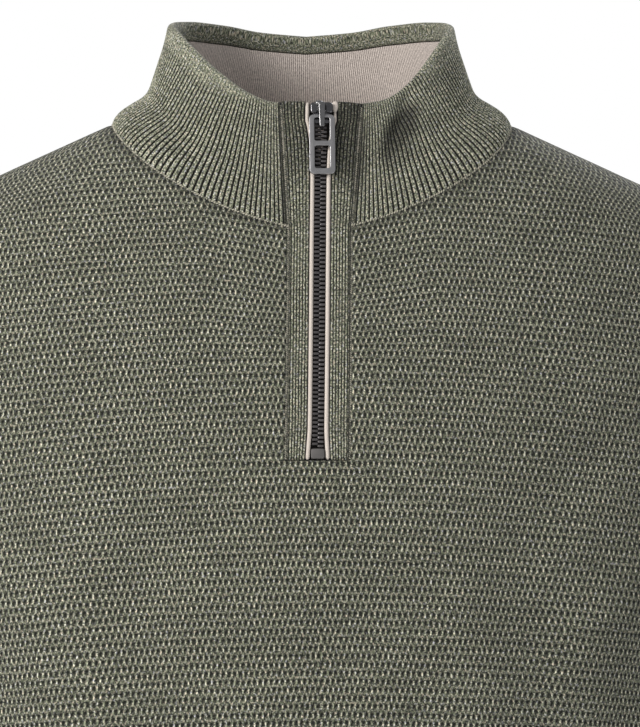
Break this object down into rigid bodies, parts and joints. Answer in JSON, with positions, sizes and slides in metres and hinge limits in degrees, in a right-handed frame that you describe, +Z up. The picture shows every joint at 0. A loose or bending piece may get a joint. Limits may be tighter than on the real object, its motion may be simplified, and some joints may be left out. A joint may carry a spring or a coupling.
{
  "type": "quarter zip sweater",
  "caption": "Hollow long-sleeved knitted sweater in its worn shape, with a stand collar and a short zip at the neck.",
  "frame": {"origin": "the middle of the neck, level with the points where the shoulder seams meet the collar", "axes": "+Z up, -Y out of the front of the garment, +X to the wearer's left"},
  "size_m": [0.7952, 0.2443, 0.7337],
  "materials": {
    "textured_knit": "matt heathered olive-grey knit with an all-over dotted texture",
    "rib_knit": "matt heathered olive-grey rib knit",
    "jersey": "matt taupe jersey",
    "trim": "cream woven trim",
    "zip_tape": "dark woven tape",
    "teeth": "dark metal, half polished",
    "gunmetal": "smooth gunmetal"
  },
  "bodies": {
    "garment": {"back": "textured_knit", "collar": "rib_knit", "collar_facing": "jersey", "cuff_left": "rib_knit", "cuff_right": "rib_knit", "front": "textured_knit", "hem_back": "rib_knit", "hem_front": "rib_knit", "placket_left": "rib_knit", "placket_right": "rib_knit", "sleeve_left_back": "textured_knit", "sleeve_left_front": "textured_knit", "sleeve_right_back": "textured_knit", "sleeve_right_front": "textured_knit", "zip_chain": "teeth", "zip_slider": "gunmetal", "zip_stop": "teeth", "zip_tape_left": "zip_tape", "zip_tape_right": "zip_tape", "zip_trim_left": "trim", "zip_trim_right": "trim"},
    "pull_tab": {"zip_pull": "gunmetal"}
  },
  "joints": [
    {"name": "pull_hinge", "type": "hinge", "parent": "garment", "child": "pull_tab", "pos_m": [0.0026, -0.06714, 0.00116], "axis": [-1, 0, 0], "range_deg": [0, 165]}
  ]
}
